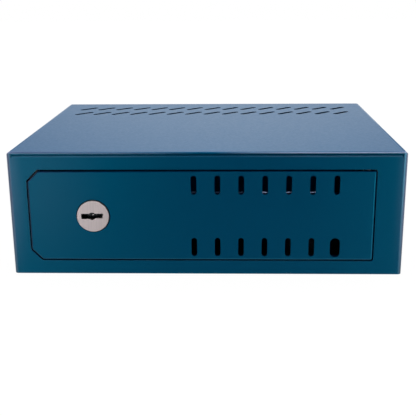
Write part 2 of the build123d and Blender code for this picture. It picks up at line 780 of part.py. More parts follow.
# Cover screws: four slotted pan heads
cover_screw_head_radius = cover_screw_radius + cover_screw_head_rim
with BuildPart() as lock_cover_screws:
    with BuildSketch(facing_front(cover_back_y)) as cover_shanks:
        with Locations((case_middle_x, lock_z)):
            with GridLocations(boss_spacing_x, boss_spacing_z, 2, 2):
                Circle(cover_screw_radius)
    extrude(amount=cover_thickness + cover_screw_grip)
    with BuildSketch(facing_front(cover_back_y)) as cover_heads:
        with Locations((case_middle_x, lock_z)):
            with GridLocations(boss_spacing_x, boss_spacing_z, 2, 2):
                Circle(cover_screw_head_radius)
    extrude(amount=-cover_screw_head)
    with BuildSketch(facing_front(cover_back_y + cover_screw_head)) as cover_slots:
        with Locations((case_middle_x, lock_z)):
            with GridLocations(boss_spacing_x, boss_spacing_z, 2, 2):
                Rectangle(2 * cover_screw_head_radius, screw_slot_width)
    extrude(amount=screw_slot_depth, mode=Mode.SUBTRACT)
lock_cover_screws.part.label = "lock_cover_screws"
export_step(lock_cover_screws.part, "parts/lock_cover_screws.step")

# Weld studs on the door's back, through the case's ears
with BuildPart() as lock_studs:
    with BuildSketch(facing_front(door_back_y)) as stud_circles:
        with Locations((lock_x, lock_z)):
            with GridLocations(ear_spacing_x, stud_spacing_z, 2, 2):
                Circle(stud_radius)
    extrude(amount=-(case_wall + nut_height + stud_end))
lock_studs.part.label = "lock_studs"
export_step(lock_studs.part, "parts/lock_studs.step")

# Nuts on the studs
with BuildPart() as lock_nuts:
    with BuildSketch(facing_front(case_floor_y)) as nut_hexagons:
        with Locations((lock_x, lock_z)):
            with GridLocations(ear_spacing_x, stud_spacing_z, 2, 2):
                RegularPolygon(nut_flats / 2, 6, major_radius=False)
                Circle(stud_radius, mode=Mode.SUBTRACT)
    extrude(amount=-nut_height)
lock_nuts.part.label = "lock_nuts"
export_step(lock_nuts.part, "parts/lock_nuts.step")

# Rotor: keyway drum in the case floor, slotted barrel, pinion, shoulder and rear journal
drum_front_y = door_back_y + rotor_float
drum_back_y = case_floor_y - rotor_float
pinion_front_y = plate_front_y - rotor_float
pinion_back_y = plate_back_y + rotor_float
shoulder_back_y = case_rim_y - rotor_float
keyway_back_y = pinion_front_y - barrel_floor
with BuildSketch() as pinion_tooth:
    with BuildLine():
        left_flank = ThreePointArc(
            flank_point(base_radius, -1),
            flank_point(pitch_radius, -1),
            flank_point(tip_radius, -1),
        )
        right_flank = ThreePointArc(
            flank_point(tip_radius, 1),
            flank_point(pitch_radius, 1),
            flank_point(base_radius, 1),
        )
        Line(left_flank @ 1, right_flank @ 0)
        tooth_foot = (right_flank @ 1).X
        Polyline(right_flank @ 1, (tooth_foot, 0), (-tooth_foot, 0), left_flank @ 0)
    make_face()
with BuildPart() as key_rotor:
    with BuildSketch(facing_front(drum_back_y)) as drum_circle:
        with Locations((lock_x, lock_z)):
            Circle(drum_radius)
    extrude(amount=drum_back_y - drum_front_y)
    with BuildSketch(facing_front(pinion_front_y)) as barrel_circle:
        with Locations((lock_x, lock_z)):
            Circle(barrel_radius)
    extrude(amount=pinion_front_y - drum_back_y)
    with BuildSketch(facing_front(keyway_back_y)) as rotor_keyway:
        with Locations((lock_x, lock_z)):
            add(keyway.sketch)
    extrude(amount=keyway_back_y - drum_front_y, mode=Mode.SUBTRACT)
    with BuildSketch(facing_front(pinion_back_y)) as pinion_outline:
        with Locations((lock_x, lock_z)):
            Circle(root_radius)
            with PolarLocations(0, pinion_teeth):
                add(pinion_tooth.sketch)
    extrude(amount=pinion_back_y - pinion_front_y)
    with BuildSketch(facing_front(shoulder_back_y)) as shoulder_circle:
        with Locations((lock_x, lock_z)):
            Circle(rotor_shoulder_radius)
    extrude(amount=shoulder_back_y - pinion_back_y)
    with BuildSketch(facing_front(cover_back_y)) as journal_circle:
        with Locations((lock_x, lock_z)):
            Circle(rotor_journal_radius)
    extrude(amount=cover_back_y - shoulder_back_y)
    with BuildSketch(facing_front(keyway_back_y)) as pin_seat:
        with Locations((lock_x, lock_z)):
            Circle(guide_pin_radius)
    extrude(amount=-guide_pin_seat, mode=Mode.SUBTRACT)
key_rotor.part.label = "key_rotor"
export_step(key_rotor.part, "parts/key_rotor.step")

# Guide pin for the hollow key, seated in the rotor, with a domed tip
with BuildPart() as key_guide_pin:
    with BuildSketch(facing_front(keyway_back_y + guide_pin_seat)) as guide_pin_circle:
        with Locations((lock_x, lock_z)):
            Circle(guide_pin_radius)
    extrude(amount=guide_pin_seat + guide_pin_length)
    fillet(key_guide_pin.edges().group_by(Axis.Y)[0], guide_pin_radius - guide_pin_flat)
key_guide_pin.part.label = "key_guide_pin"
export_step(key_guide_pin.part, "parts/key_guide_pin.step")

# Bolt plate: slides in the case, with a rack under the pinion and a tab for the carriage
window_left = lock_x - tip_radius - plate_window_clearance
window_right = lock_x + bolt_throw + tip_radius + plate_window_clearance
window_top = lock_z + tip_radius + plate_window_clearance
pitch_line_z = lock_z - pitch_radius
rack_root_z = pitch_line_z - rack_dedendum
rack_tooth_height = rack_dedendum + rack_addendum
rack_tooth_base = tooth_width + 2 * rack_dedendum * tan(radians(pressure_angle))
rack_teeth = int((window_right - window_left) / tooth_pitch) - 1
rack_first = -int((lock_x - window_left) / tooth_pitch) + 0.5
with BuildSketch() as rack_tooth:
    Trapezoid(rack_tooth_base, rack_tooth_height, 90 - pressure_angle, align=(Align.CENTER, Align.MIN))
with BuildPart() as lock_bolt_plate:
    with BuildSketch(facing_front(plate_back_y)) as plate_outline:
        with Locations((carriage_right, lock_z)):
            Rectangle(
                plate_right - carriage_right,
                2 * bolt_plate_half_height,
                align=(Align.MIN, Align.CENTER),
            )
            Rectangle(
                carriage_width,
                2 * carriage_tab_half_height,
                align=(Align.MAX, Align.CENTER),
            )
        with Locations((window_left, rack_root_z)):
            Rectangle(
                window_right - window_left,
                window_top - rack_root_z,
                align=(Align.MIN, Align.MIN),
                mode=Mode.SUBTRACT,
            )
        for number in range(rack_teeth):
            with Locations((lock_x + (rack_first + number) * tooth_pitch, rack_root_z)):
                add(rack_tooth.sketch)
        with Locations((stump_x, lock_z)):
            Circle(stump_rivet_radius, mode=Mode.SUBTRACT)
    extrude(amount=bolt_plate_thickness)
    with BuildSketch(facing_front(plate_back_y)) as tab_holes:
        with Locations((carriage_right - carriage_width / 2, lock_z)):
            with GridLocations(0, carriage_screw_spacing, 1, 2):
                Circle(carriage_screw_radius)
    extrude(amount=bolt_plate_thickness, mode=Mode.SUBTRACT)
lock_bolt_plate.part.label = "lock_bolt_plate"
export_step(lock_bolt_plate.part, "parts/lock_bolt_plate.step")

# Stump: square post on the bolt plate that runs in the levers' gates
with BuildPart() as bolt_stump:
    with BuildSketch(facing_front(plate_front_y)) as stump_square:
        with Locations((stump_x, lock_z)):
            Rectangle(stump_size, stump_size)
    extrude(amount=plate_front_y - case_floor_y - stump_end_gap)
    with BuildSketch(facing_front(plate_front_y)) as stump_rivet:
        with Locations((stump_x, lock_z)):
            Circle(stump_rivet_radius)
    extrude(amount=-bolt_plate_thickness)
bolt_stump.part.label = "bolt_stump"
export_step(bolt_stump.part, "parts/bolt_stump.step")

# Carriage: bar that joins the bolt plate's tab to both locking bolts
carriage_half_height = bolt_spacing / 2 + carriage_overhang
with BuildPart() as bolt_carriage:
    with BuildSketch(facing_right(carriage_left)) as carriage_section:
        with Locations((bolt_y, lock_z)):
            Rectangle(carriage_depth, 2 * carriage_half_height)
            with GridLocations(0, bolt_spacing, 1, 2):
                Circle(bolt_spigot_radius, mode=Mode.SUBTRACT)
        with Locations((plate_front_y, lock_z)):
            Rectangle(
                bolt_plate_thickness,
                2 * carriage_tab_half_height,
                align=(Align.MIN, Align.CENTER),
                mode=Mode.SUBTRACT,
            )
    extrude(amount=carriage_width)
    with BuildSketch(facing_front(carriage_back_y)) as carriage_screw_holes:
        with Locations((carriage_left + carriage_width / 2, lock_z)):
            with GridLocations(0, carriage_screw_spacing, 1, 2):
                Circle(carriage_screw_radius)
    extrude(amount=carriage_screw_length, mode=Mode.SUBTRACT)
bolt_carriage.part.label = "bolt_carriage"
export_step(bolt_carriage.part, "parts/bolt_carriage.step")

# Locking bolts: two round bars with spigots in the carriage
with BuildPart() as locking_bolts:
    with BuildSketch(facing_right(bolt_tip_x)) as bolt_circles:
        with Locations((bolt_y, lock_z)):
            with GridLocations(0, bolt_spacing, 1, 2):
                Circle(bolt_radius)
    extrude(amount=carriage_left - bolt_tip_x)
    chamfer(locking_bolts.edges().group_by(Axis.X)[0], bolt_tip_chamfer)
    with BuildSketch(facing_right(carriage_left)) as spigot_circles:
        with Locations((bolt_y, lock_z)):
            with GridLocations(0, bolt_spacing, 1, 2):
                Circle(bolt_spigot_radius)
    extrude(amount=carriage_width)
locking_bolts.part.label = "locking_bolts"
export_step(locking_bolts.part, "parts/locking_bolts.step")

# Carriage screws, from the rear through the plate's tab
with BuildPart() as carriage_screws:
    with BuildSketch(facing_front(carriage_back_y)) as carriage_shanks:
        with Locations((carriage_left + carriage_width / 2, lock_z)):
            with GridLocations(0, carriage_screw_spacing, 1, 2):
                Circle(carriage_screw_radius)
    extrude(amount=carriage_screw_length)
    with BuildSketch(facing_front(carriage_back_y)) as carriage_heads:
        with Locations((carriage_left + carriage_width / 2, lock_z)):
            with GridLocations(0, carriage_screw_spacing, 1, 2):
                Circle(carriage_screw_radius + carriage_screw_head_rim)
    extrude(amount=-carriage_screw_head)
carriage_screws.part.label = "carriage_screws"
export_step(carriage_screws.part, "parts/carriage_screws.step")

# Lever post: riveted in the case floor, with a collar under the first lever
with BuildPart() as lever_post:
    with BuildSketch(facing_front(door_back_y)) as post_circle:
        with Locations((post_x, lock_z)):
            Circle(lever_post_radius)
    extrude(amount=-(lever_pack_back_y - door_back_y))
    with BuildSketch(facing_front(case_floor_y)) as collar_circle:
        with Locations((post_x, lock_z)):
            Circle(lever_post_radius + lever_collar_width)
    extrude(amount=-lever_front_gap)
lever_post.part.label = "lever_post"
export_step(lever_post.part, "parts/lever_post.step")

# Levers: each with an eye, a key window with its own cut, and a gate with two pockets
pocket_width = stump_size + 2 * gate_clearance
for number, cut in enumerate(lever_cuts):
    lever_back_y = lever_pack_front_y + number * lever_spacing + lever_thickness
    with BuildPart() as lever:
        with BuildSketch(facing_front(lever_back_y)) as lever_outline:
            with Locations((post_x, lock_z - lever_bottom)):
                Rectangle(
                    lever_right - post_x,
                    lever_bottom + lever_top,
                    align=(Align.MIN, Align.MIN),
                )
            fillet(lever_outline.vertices(), lever_corner)
            with Locations((post_x, lock_z)):
                Circle(lever_eye_radius)
                Circle(lever_post_radius + running_clearance, mode=Mode.SUBTRACT)
            with Locations((lock_x, lock_z)):
                RectangleRounded(
                    2 * key_window_half_length,
                    2 * (key_window_half_height + cut),
                    key_window_corner,
                    mode=Mode.SUBTRACT,
                )
            with Locations((gate_left, lock_z - gate_below)):
                Rectangle(
                    gate_right - gate_left,
                    gate_height,
                    align=(Align.MIN, Align.MIN),
                    mode=Mode.SUBTRACT,
                )
            for pocket_left in (gate_left, gate_right - pocket_width):
                with Locations((pocket_left, lock_z - gate_below - pocket_depth)):
                    Rectangle(
                        pocket_width,
                        gate_height + 2 * pocket_depth,
                        align=(Align.MIN, Align.MIN),
                        mode=Mode.SUBTRACT,
                    )
        extrude(amount=lever_thickness)
    lever.part.label = f"lever_{number + 1}"
    export_step(lever.part, f"parts/lever_{number + 1}.step")

# Lever springs: one zigzag leaf per lever, between the case's top wall and the lever's upper edge
spring_base_z = lock_z + lever_top
spring_head_z = lock_z + case_half_height - case_wall
spring_middle_z = (spring_base_z + spring_head_z) / 2
spring_right_x = lever_right - spring_inset
spring_left_x = spring_right_x - spring_reach
with BuildPart() as lever_springs:
    for number in range(len(lever_cuts)):
        spring_back_y = lever_pack_front_y + number * lever_spacing + lever_thickness
        with BuildSketch(facing_front(spring_back_y)) as spring_leaf:
            with BuildLine() as spring_line:
                FilletPolyline(
                    (spring_right_x, spring_head_z - spring_wire / 2),
                    (spring_left_x, spring_head_z - spring_wire / 2),
                    (spring_right_x, spring_middle_z),
                    (spring_left_x, spring_base_z + spring_wire / 2),
                    (spring_right_x, spring_base_z + spring_wire / 2),
                    radius=spring_round,
                )
            trace(spring_line.line, line_width=spring_wire)
        extrude(amount=lever_thickness)
lever_springs.part.label = "lever_springs"
export_step(lever_springs.part, "parts/lever_springs.step")
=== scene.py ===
import json
import math

import bmesh
import bpy
from mathutils import Matrix, Vector


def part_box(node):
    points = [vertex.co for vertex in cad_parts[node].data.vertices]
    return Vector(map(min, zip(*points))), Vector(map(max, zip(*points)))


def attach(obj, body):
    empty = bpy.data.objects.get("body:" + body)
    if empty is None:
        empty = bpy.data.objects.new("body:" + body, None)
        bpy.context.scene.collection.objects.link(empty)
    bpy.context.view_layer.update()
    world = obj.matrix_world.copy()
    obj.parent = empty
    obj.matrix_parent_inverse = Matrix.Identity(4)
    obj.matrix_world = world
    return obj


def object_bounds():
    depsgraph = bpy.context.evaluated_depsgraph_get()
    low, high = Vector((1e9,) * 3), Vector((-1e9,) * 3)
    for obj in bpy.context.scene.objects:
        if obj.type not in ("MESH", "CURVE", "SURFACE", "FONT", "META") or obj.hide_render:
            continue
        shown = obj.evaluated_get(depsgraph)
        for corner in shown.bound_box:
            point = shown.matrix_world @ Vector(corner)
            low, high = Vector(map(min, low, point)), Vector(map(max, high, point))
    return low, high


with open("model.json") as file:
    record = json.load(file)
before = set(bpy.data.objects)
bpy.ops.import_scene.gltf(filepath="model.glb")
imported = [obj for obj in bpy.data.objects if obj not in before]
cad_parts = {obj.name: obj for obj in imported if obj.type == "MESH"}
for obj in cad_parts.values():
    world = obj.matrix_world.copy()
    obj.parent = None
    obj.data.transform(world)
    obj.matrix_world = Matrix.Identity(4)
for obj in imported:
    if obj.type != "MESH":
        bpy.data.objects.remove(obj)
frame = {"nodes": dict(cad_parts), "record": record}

# Lengths below are millimetres and angles are degrees, unless a comment says otherwise
MM = 0.001
cad_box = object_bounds()
nodes = frame["nodes"]

# Camera, solved from the box's edges in the photograph
IMAGE_SIZE = 416
FOCAL_PIXELS = 777.3
SENSOR = 36.0
CAMERA_PLACE = Vector((31.3, -1030.0, 327.4)) * MM
CAMERA_NEAR = 10.0
CAMERA_YAW = -1.95
CAMERA_DIP = 16.194
CAMERA_ROLL = 0.492

# Light tent: soft patches of light, each at an azimuth (0 is the front, 90 the right) and a height,
# with the angles at which it starts to fade and ends, and its strength
TENT_BASE = 0.02
TENT_PATCHES = (
    ("left front", -23.6, -9.0, 5.0, 13.0, 4.9),
    ("right front", 37.1, -8.8, 8.4, 21.5, 6.1),
    ("high front", 0.0, 38.0, 15.0, 40.0, 0.3),
    ("rear", 180.0, -10.8, 6.5, 37.7, 1.42),
    ("floor", 0.0, -90.0, 37.0, 73.0, 1.56),
    ("left", -118.0, 14.0, 15.0, 45.0, 0.8),
    ("right", 118.0, 14.0, 15.0, 45.0, 0.8),
)

# Floor: mostly a glow, with its reach in metres, and a dark sheet inside the base plate's thickness
# that is the shaded floor seen through the anchor holes
FLOOR_COLOUR = 0.006
FLOOR_GLOW = 0.98
FLOOR_ROUGHNESS = 0.9
FLOOR_REACH = 6.0
UNDER_INSET = 3.0
UNDER_RAISE = 0.05

# Overhead light: a wide soft disc, tilted so that it leaves the front in its own shade. Most of it
# only lights, and a small part also shines in the coat, so that the top doesn't glare from above.
TOP_LIGHT_POWER = 14.5
TOP_LIGHT_SHINE = 2.5
TOP_LIGHT_WIDTH = 70.0
TOP_LIGHT_TILT = 12.0

# Edges that a press or a saw leaves: their radius. The shell and the front frame are welded and
# ground flush where they meet, so theirs are smaller. A turn sharper than SHARP_TURN is an edge, and
# points closer than SAME_POINT are one.
SHEET_EDGE = 0.25
FLUSH_EDGE = 0.06
EDGE_STEPS = 2
SHARP_TURN = 40.0
SAME_POINT = 0.002
FLUSH = ("body_shell", "front_frame")
PAINTED = (
    "base_plate", "rear_panel", "door_stop_upper", "door_stop_lower",
    "bolt_keeper", "hinge_lug_upper", "hinge_lug_lower", "door_plate", "door_stiffener",
    "hinge_knuckle_upper", "hinge_knuckle_lower", "bolt_guide",
)

# Powder coat: the two colours that it drifts between, its specks, its shine and the shine's tint, and
# the sizes of its clouds, grain and orange peel
COAT_DEEP = (0.0, 0.0115, 0.043)
COAT_LIGHT = (0.0, 0.013, 0.047)
COAT_SPECK = (0.0, 0.025, 0.075)
COAT_SPECK_SHARE = 0.16
COAT_IOR = 1.69
COAT_TINT = (0.0, 0.72, 1.0, 1.0)
COAT_CLOUD = 90.0
COAT_GRAIN = 0.9
COAT_PEEL = 3.2

# Painted highlights in the coat's colour: on the front's upright corners, a painted halo of light
# around them, more widely at the left, and along the door's left edge and cut corners. A painted
# reflection makes the front's left side warmer between LEFT_START and LEFT_END. The marks at the sides
# fade downwards.
CORNER_WIDTH = 4.8
CORNER_FULL_WIDTH = 3.6
CORNER_DEPTH = 5.0
CORNER_FULL_DEPTH = 3.5
CORNER_HIGHLIGHT_COLOUR = (0.08, 0.095, 0.155)
CORNER_FADE_LOW = 8.0
CORNER_FADE_HIGH = 55.0
CORNER_FADE_SHARE = 0.2
# Halo: painted light beside the upright corners, wider at the left
HALO_WIDTH = 20.0
HALO_LEFT_POWER = 1.6
HALO_RIGHT_POWER = 3.5
HALO_BLUR = 100.0
HALO_LIGHT_COLOUR = (0.045, 0.05, 0.1)
SIDE_FADE_LOW = 8.0
SIDE_FADE_HIGH = 88.0
SIDE_FADE_SHARE = 0.15
# The front's left side: a painted reflection of the left light, warmer in colour
LEFT_START = -110.0
LEFT_END = -180.0
LEFT_REFLECTION_COLOUR = (0.006, 0.013, 0.046)
DOOR_CUT = 12.5
# The door's left edge and cut corners: a painted highlight
DOOR_EDGE_WIDTH = 1.1
DOOR_EDGE_FULL_WIDTH = 0.55
DOOR_EDGE_HIGHLIGHT_COLOUR = (0.06, 0.075, 0.12)

# Marks along the top of the front, as heights: painted highlights make the shell's edge and the welded
# seam below it pale towards both ends, painted shade darkens and dulls the groove below them, with a
# spot at both ends, and a painted highlight makes the groove's lower edge pale
SHELL_EDGE_Z = (143.5, 144.7)
SHELL_EDGE_DEPTH = 1.5
SHELL_EDGE_FULL_DEPTH = 0.9
SHELL_EDGE_LEFT_SHARE = 0.45
SHELL_EDGE_HIGHLIGHT_COLOUR = (0.14, 0.15, 0.22)
# The welded seam: a painted highlight, fainter at the right
SEAM_Z = (142.75, 143.3)
SEAM_RIGHT_SHARE = 0.25
SEAM_HIGHLIGHT_COLOUR = (0.11, 0.14, 0.23)
# The groove: painted shade, darkened and dulled, with a spot of painted shade at both ends
GROOVE_Z = (140.9, 142.65)
GROOVE_END_X = (219.6, 222.4)
GROOVE_END_Z = (138.7, 141.2)
GROOVE_DULLING = 0.4
# The groove's lower edge: a painted highlight, fainter in the middle
GROOVE_EDGE_Z = (139.2, 140.6)
GROOVE_EDGE_LEAST = 0.3
GROOVE_EDGE_HIGHLIGHT_COLOUR = (0.018, 0.036, 0.075)
MARK_BLUR = 0.15
MARK_START = 10.0
MARK_END = 105.0
MIDDLE_BLUR = 10.0

# Top face of the shell, slightly greener as a painted sheen, and how far below it the tint starts and
# is full
TOP_SHARE = 0.5
TOP_SHEEN_COLOUR = (0.0, 0.018, 0.043)
TOP_START = 0.3
TOP_FULL = 0.1

# Inner fittings: a darker copy of the coat with hardly any shine, which is painted shade
INNER_SHADED = (
    "base_plate", "door_stop_upper", "door_stop_lower",
    "bolt_keeper", "hinge_lug_upper", "hinge_lug_lower",
)
INNER_SHADE_SHARE = 0.3
INNER_SPECULAR = 0.02

# Walls of the slots in the door and the top, darkened and dulled as painted shade. The margins keep
# the shade off the door's other edges and off the shell's sides and rear edge.
PAINTED_SHADE_COLOUR = (0.0, 0.006, 0.03)
WALL_START = 0.5
WALL_BLUR = 0.06
WALL_MARGIN = 2.5
WALL_FADE = 1.0
WALL_DULLING = 0.8
TOP_SHEET = 2.0
TOP_SHEET_MARGIN = 1.0
TOP_WALL_START = 0.12
TOP_SLOTS_START = 40.0
TOP_SLOTS_MARGIN = 4.0
TOP_SLOTS_BLUR = 0.5

# Walls of the front frame's opening, all but the upper one, made pale as painted light, and the depth
# at which it starts
DOOR_GAP = 1.1
HINGE_GAP = 0.9
OPENING_WALL_NEAR = 0.3
OPENING_WALL_START = 0.3
OPENING_WALL_FULL = 0.5
OPENING_WALL_LIGHT_COLOUR = (0.03, 0.12, 0.19)

# Painted light on the upper edge of the stiffener's foot, brighter behind three of the upper vents
FOOT_EDGE_LIGHT_COLOUR = (0.02, 0.028, 0.05)
LEDGE_LIGHT_LEFT = 52.6
LEDGE_LIGHT_RIGHT = 135.0
LEDGE_LIGHT_DEPTH = 0.95
LEDGE_LIGHT_BLUR = 1.0
LEDGE_LIGHT_COLOUR = (0.19, 0.23, 0.36)

# Front of the lock case behind the face disc, darkened as painted shade, and the bolt plate, black all
# over
CASE_FRONT = 4.0
BOLT_PLATE_MARGIN = 1.0
BLACK_AND_SHADE_BLUR = 0.3
BLACK_AND_SHADE_COLOUR = (0.006, 0.007, 0.01)

# Weld beads: length of a stitch, pitch of the ripples and steps for each, steps across, how deep the
# root lies in the corner, and how steeply a bead grows from its ends. The rest are shares of the leg.
STITCH = 11.0
RIPPLE = 1.3
STEPS_PER_RIPPLE = 4
STEPS_ACROSS = 6
BEAD_ROOT = 0.1
BEAD_SWELL = 3.0
BEAD_END = 0.25
BEAD_RIPPLE = 0.09
BEAD_HOLLOW = 0.16

# Where the beads are: their legs, how many there are, and the places along the stiffener
KNUCKLE_LEG = 1.8
KNUCKLE_STITCHES = 2
GUIDE_LEG = 1.5
GUIDE_STITCHES = 4
STIFFENER_UPPER_LEG = 1.2
STIFFENER_LOWER_LEG = 1.8
STIFFENER_STITCHES = (-22.0, -0.4, 26.6, 53.6, 80.6, 107.6)
KEEPER_LEG = 1.8
KEEPER_STITCHES = 3
LUG_LEG = 1.3
LUG_STITCH = 9.0
LUG_STITCHES = 2

# Spot welds along the base's flanges, and their profile from the rim to the middle, as shares of
# the radius and the height
SPOT_RADIUS = 2.8
SPOT_HEIGHT = 0.3
SPOT_STEPS = 20
SPOT_PROFILE = ((1.0, -0.1), (0.96, 0.6), (0.82, 1.0), (0.55, 0.75), (0.25, 0.45))
SPOT_WALL = 222.0
SPOT_START = -160.0
SPOT_END = 158.0
SPOT_Z = 9.5
SPOT_COUNT = 8

# A Mix node's sockets, which go by number: for colours, and for plain numbers
COLOUR_SHARE, COLOUR_FIRST, COLOUR_SECOND, COLOUR_RESULT = 0, 6, 7, 2
NUMBER_SHARE, NUMBER_FIRST, NUMBER_SECOND, NUMBER_RESULT = 0, 2, 3, 0

# The middle part of a noise, which most ramps stretch to their full range
NOISE_LOW = 0.3
NOISE_HIGH = 0.7

UP = Vector((0, 0, 1))
RIGHT = Vector((1, 0, 0))
REAR = Vector((0, 1, 0))
WHITE = (1.0, 1.0, 1.0, 1.0)


def point_camera():
    """A camera at the photograph's place, with its yaw, dip and roll."""
    yaw, dip, roll = (math.radians(angle) for angle in (CAMERA_YAW, CAMERA_DIP, CAMERA_ROLL))
    ahead = Vector((math.sin(yaw) * math.cos(dip), math.cos(yaw) * math.cos(dip), -math.sin(dip)))
    side = Vector((math.cos(yaw), -math.sin(yaw), 0.0))
    down = ahead.cross(side)
    right = math.cos(roll) * side + math.sin(roll) * down
    below = math.cos(roll) * down - math.sin(roll) * side
    data = bpy.data.cameras.new("camera")
    data.sensor_width = SENSOR
    data.lens = FOCAL_PIXELS * SENSOR / IMAGE_SIZE
    data.clip_start = CAMERA_NEAR * MM
    camera = bpy.data.objects.new("camera", data)
    turn = Matrix((right, -below, -ahead)).transposed()
    camera.matrix_world = Matrix.Translation(CAMERA_PLACE) @ turn.to_4x4()
    bpy.context.scene.collection.objects.link(camera)
    bpy.context.scene.camera = camera


def box_mm(node):
    """Lowest and highest corner of a node in millimetres."""
    return tuple(Vector(corner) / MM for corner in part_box(node))


class Nodes:
    """A node tree, with short calls for the nodes used here."""

    def __init__(self, tree):
        self.tree = tree

    def node(self, kind, inputs=(), **settings):
        """A node of that kind, with its settings, and its inputs set or linked."""
        made = self.tree.nodes.new(kind)
        for name, value in settings.items():
            setattr(made, name, value)
        for name, value in dict(inputs).items():
            if isinstance(value, bpy.types.NodeSocket):
                self.tree.links.new(value, made.inputs[name])
            else:
                made.inputs[name].default_value = value
        return made

    def math(self, operation, first, second=0.0):
        """One sum on two numbers."""
        return self.node("ShaderNodeMath", {0: first, 1: second}, operation=operation).outputs[0]

    def times(self, *factors):
        """The product of several numbers."""
        product = factors[0]
        for factor in factors[1:]:
            product = self.math("MULTIPLY", product, factor)
        return product

    def ramp(self, value, low, high, from_low=NOISE_LOW, from_high=NOISE_HIGH, **settings):
        """A value mapped to another range, and held inside it."""
        inputs = {"Value": value, "From Min": from_low, "From Max": from_high}
        inputs.update({"To Min": low, "To Max": high})
        return self.node("ShaderNodeMapRange", inputs, **settings).outputs["Result"]


class Shader(Nodes):
    """A material's node tree."""

    def __init__(self, name, colour, metallic, roughness):
        self.material = bpy.data.materials.new(name)
        self.material.use_nodes = True
        self.material.diffuse_color = (*colour, 1.0)
        super().__init__(self.material.node_tree)
        self.surface = self.tree.nodes["Principled BSDF"]
        self.surface.inputs["Base Color"].default_value = (*colour, 1.0)
        self.surface.inputs["Metallic"].default_value = metallic
        self.surface.inputs["Roughness"].default_value = roughness
        self.place = self.node("ShaderNodeTexCoord").outputs["Object"]

    def noise(self, feature_mm, detail=2.0, rough=0.5, stretch=None):
        """Soft noise with features of that size, which may be stretched along each axis."""
        place = self.place
        if stretch:
            mapping = self.node("ShaderNodeMapping", {"Vector": place, "Scale": stretch})
            place = mapping.outputs["Vector"]
        inputs = {"Vector": place, "Scale": 1.0 / (feature_mm * MM)}
        inputs.update({"Detail": detail, "Roughness": rough})
        return self.node("ShaderNodeTexNoise", inputs).outputs["Fac"]

    def across(self, length, low, high, from_mm, to_mm):
        """A length in metres mapped from two lengths in millimetres, and held inside the range."""
        return self.ramp(length, low, high, from_mm * MM, to_mm * MM)

    def band(self, length, low_mm, high_mm, blur_mm):
        """1 where a length in metres lies between two lengths in millimetres, and 0 outside."""
        above = self.across(length, 0.0, 1.0, low_mm - blur_mm, low_mm + blur_mm)
        below = self.across(length, 1.0, 0.0, high_mm - blur_mm, high_mm + blur_mm)
        return self.times(above, below)

    def blend(self, share, first, second):
        """Two colours mixed by a share."""
        inputs = {COLOUR_SHARE: share}
        for socket, colour in ((COLOUR_FIRST, first), (COLOUR_SECOND, second)):
            inputs[socket] = (*colour, 1.0) if isinstance(colour, tuple) else colour
        mix = self.node("ShaderNodeMix", inputs, data_type="RGBA")
        return mix.outputs[COLOUR_RESULT]

    def bump(self, height, depth_mm, strength=1.0, below=None):
        """Relief of a height in 0..1 that stands depth_mm high, and may lie on another relief."""
        inputs = {"Height": height, "Distance": depth_mm * MM, "Strength": strength}
        if below is not None:
            inputs["Normal"] = below
        return self.node("ShaderNodeBump", inputs).outputs["Normal"]

    def use(self, **sockets):
        """Link sockets into the surface shader: color, roughness, metallic, normal."""
        names = {"color": "Base Color", "roughness": "Roughness"}
        names.update({"metallic": "Metallic", "normal": "Normal"})
        for key, value in sockets.items():
            self.tree.links.new(value, self.surface.inputs[names[key]])
        return self.material


def powder_coat(name="powder_coat", marks=None, painted_shade_place=None, share=1.0):
    """Teal powder coat: satin, with a fine grain and a shallow orange peel, and painted highlights and
    shade.

    marks and painted_shade_place are functions of the shader and the place's x, y and z, in metres.
    share is how much of the full coat's colour there is."""
    colours = (COAT_DEEP, COAT_LIGHT, COAT_SPECK)
    deep, light, speck = (tuple(share * part for part in colour) for colour in colours)
    s = Shader(name, deep, metallic=0.0, roughness=0.34)
    s.surface.inputs["IOR"].default_value = COAT_IOR
    s.surface.inputs["Specular Tint"].default_value = COAT_TINT
    clouds = s.noise(COAT_CLOUD, detail=3.0)
    grain = s.noise(COAT_GRAIN)
    peel = s.noise(COAT_PEEL)
    color = s.blend(s.ramp(clouds, 0.0, 1.0), deep, light)
    color = s.blend(s.ramp(grain, 0.0, COAT_SPECK_SHARE), color, speck)
    place = s.node("ShaderNodeSeparateXYZ", {"Vector": s.place}).outputs
    if marks:
        for amount, pale in marks(s, place["X"], place["Y"], place["Z"]):
            color = s.blend(amount, color, pale)
    # Painted shade: a darker colour, and a metallic share that dulls the coat's shine
    if painted_shade_place:
        amount, dulling = painted_shade_place(s, place["X"], place["Y"], place["Z"])
        color = s.blend(amount, color, PAINTED_SHADE_COLOUR)
        s.use(metallic=s.times(amount, dulling))
    roughness = s.ramp(peel, low=0.31, high=0.36)
    relief = s.bump(peel, depth_mm=0.12, strength=0.35)
    relief = s.bump(grain, depth_mm=0.05, strength=0.5, below=relief)
    return s.use(color=color, roughness=roughness, normal=relief)


def side_fade(s, z):
    """The share of the marks at the front's sides: full in the upper half, faint at the bottom."""
    return s.across(z, SIDE_FADE_SHARE, 1.0, SIDE_FADE_LOW, SIDE_FADE_HIGH)


def left_reflection(s, x, z):
    """How far the front's left side gets its warm painted reflection: fully at the top, less lower
    down.
    """
    return s.times(s.across(x, 1.0, 0.0, LEFT_END, LEFT_START), side_fade(s, z))


def to_ends(s, x):
    """0 at the front's middle, and 1 towards both of its ends."""
    return s.across(s.math("ABSOLUTE", x), 0.0, 1.0, MARK_START, MARK_END)


